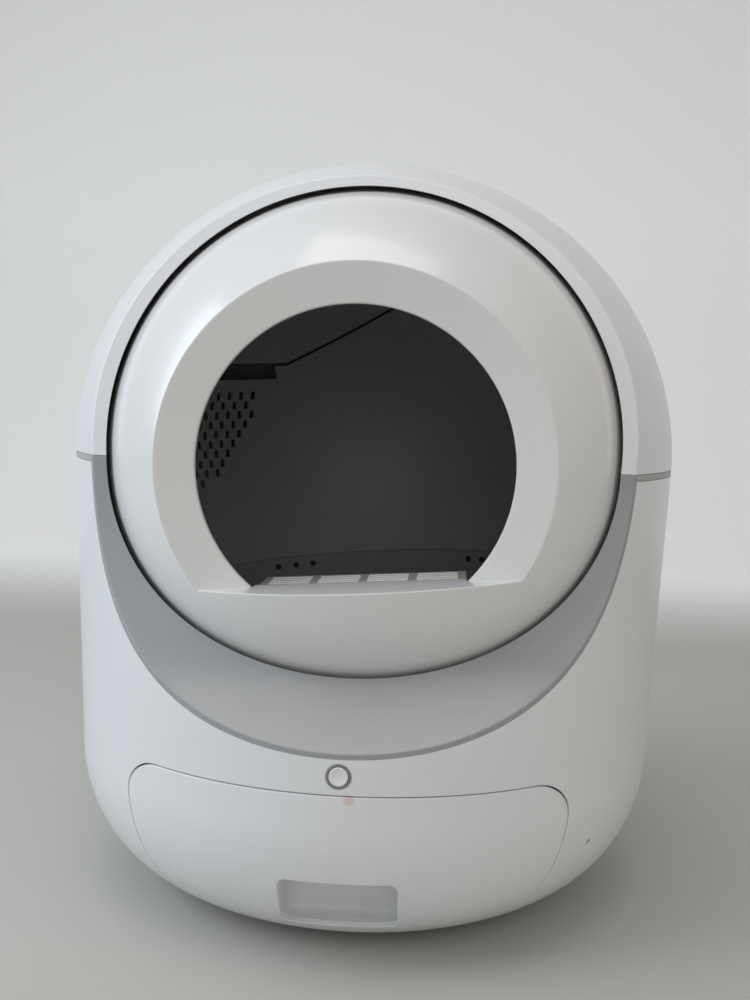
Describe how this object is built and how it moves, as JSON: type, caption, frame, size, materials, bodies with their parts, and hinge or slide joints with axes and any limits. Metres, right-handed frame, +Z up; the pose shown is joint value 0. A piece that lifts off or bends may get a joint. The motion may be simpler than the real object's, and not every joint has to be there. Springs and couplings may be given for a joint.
{
  "type": "self_cleaning_drum",
  "caption": "Egg-shaped self-cleaning litter box: a motor-turned drum with a round entrance in a white housing, with a waste drawer and a start button.",
  "frame": {"origin": "middle of the footprint on the floor", "axes": "+Z up, the entrance faces -Y, +X to the right seen from the front"},
  "size_m": [0.559, 0.5992, 0.67],
  "materials": {
    "shell_white": "glossy injection-moulded white",
    "drum_white": "glossy white",
    "face_matt": "fine matt texture, light warm grey",
    "bezel_grey": "glossy light grey with soft reflections",
    "trim_grey": "satin grey",
    "ring_grey": "satin grey",
    "tread_grey": "satin grey",
    "inner_grey": "moulded structural plastic",
    "bin_grey": "moulded bin plastic",
    "dark_plastic": "matt black",
    "lining_dark": "fine matt dark grey",
    "bed_rubber": "smooth dark rubber",
    "foot_rubber": "matt",
    "gear_nylon": "natural nylon",
    "roller_nylon": "black nylon",
    "steel": "zinc-plated",
    "sensor_alloy": "bare aluminium",
    "board_green": "coated circuit board"
  },
  "bodies": {
    "housing": {"base_shell": "shell_white", "crescent_bezel": "bezel_grey", "belt_trim": "trim_grey", "chassis_pan": "inner_grey", "rubber_feet": "foot_rubber", "foot_studs": "steel", "load_cells": "sensor_alloy", "drum_cradle": "inner_grey", "roller_axles": "steel", "waste_chute": "inner_grey", "drawer_runners": "inner_grey", "motor_bracket": "steel", "gearbox": "dark_plastic", "drive_motor": "steel", "hall_sensor": "dark_plastic", "button_ring": "ring_grey", "button_housing": "inner_grey", "button_spring": "steel", "button_board": "board_green", "rear_cover": "shell_white", "power_socket": "dark_plastic", "control_board": "board_green", "board_standoffs": "inner_grey", "cover_screws": "steel"},
    "hood": {"hood": "shell_white"},
    "drum": {"drum_front_shell": "drum_white", "entry_face": "face_matt", "entry_sill": "drum_white", "sill_grille": "tread_grey", "grille_slats": "drum_white", "drum_rear_shell": "drum_white", "waste_port_frame": "dark_plastic", "ring_gear": "gear_nylon", "drum_screws": "steel", "front_track": "gear_nylon", "rear_track": "gear_nylon", "litter_bed": "bed_rubber", "drum_lining": "lining_dark", "septum_panel": "lining_dark", "sieve_screen": "lining_dark", "lining_screws": "dark_plastic", "drum_magnet": "steel"},
    "pinion": {"drive_pinion": "steel"},
    "roller_fl": {"roller_front_left": "roller_nylon"},
    "roller_fr": {"roller_front_right": "roller_nylon"},
    "roller_rl": {"roller_rear_left": "roller_nylon"},
    "roller_rr": {"roller_rear_right": "roller_nylon"},
    "drawer": {"drawer_front": "shell_white", "drawer_bin": "bin_grey"},
    "button": {"start_button": "drum_white"}
  },
  "joints": [
    {"name": "drum_turn", "type": "hinge", "parent": "housing", "child": "drum", "pos_m": [0, -0.07024, 0.401], "axis": [0, -1, 0], "continuous": true},
    {"name": "pinion_turn", "type": "hinge", "parent": "housing", "child": "pinion", "pos_m": [0.23383, -0.07024, 0.266], "axis": [0, -1, 0], "continuous": true},
    {"name": "roller_front_left_turn", "type": "hinge", "parent": "housing", "child": "roller_fl", "pos_m": [-0.15872, -0.11024, 0.19785], "axis": [0, -1, 0], "continuous": true},
    {"name": "roller_front_right_turn", "type": "hinge", "parent": "housing", "child": "roller_fr", "pos_m": [0.15872, -0.11024, 0.19785], "axis": [0, -1, 0], "continuous": true},
    {"name": "roller_rear_left_turn", "type": "hinge", "parent": "housing", "child": "roller_rl", "pos_m": [-0.15872, -0.03024, 0.19785], "axis": [0, -1, 0], "continuous": true},
    {"name": "roller_rear_right_turn", "type": "hinge", "parent": "housing", "child": "roller_rr", "pos_m": [0.15872, -0.03024, 0.19785], "axis": [0, -1, 0], "continuous": true},
    {"name": "drawer_slide", "type": "slide", "parent": "housing", "child": "drawer", "axis": [0, -1, 0], "range_m": [0, 0.3]},
    {"name": "hood_lift", "type": "slide", "parent": "housing", "child": "hood", "axis": [0, 0, 1], "range_m": [0, 0.3]},
    {"name": "button_press", "type": "slide", "parent": "housing", "child": "button", "axis": [0, 1, 0], "range_m": [0, 0.0015], "stiffness_N_per_m": 900, "springref_m": -0.0006, "deforming": ["button_spring"]}
  ],
  "couplings": [
    {"joint": "pinion_turn", "follows": "drum_turn", "ratio": -11.857},
    {"joint": "roller_front_left_turn", "follows": "drum_turn", "ratio": -15.094},
    {"joint": "roller_front_right_turn", "follows": "drum_turn", "ratio": -15.094},
    {"joint": "roller_rear_left_turn", "follows": "drum_turn", "ratio": -15.094},
    {"joint": "roller_rear_right_turn", "follows": "drum_turn", "ratio": -15.094}
  ]
}
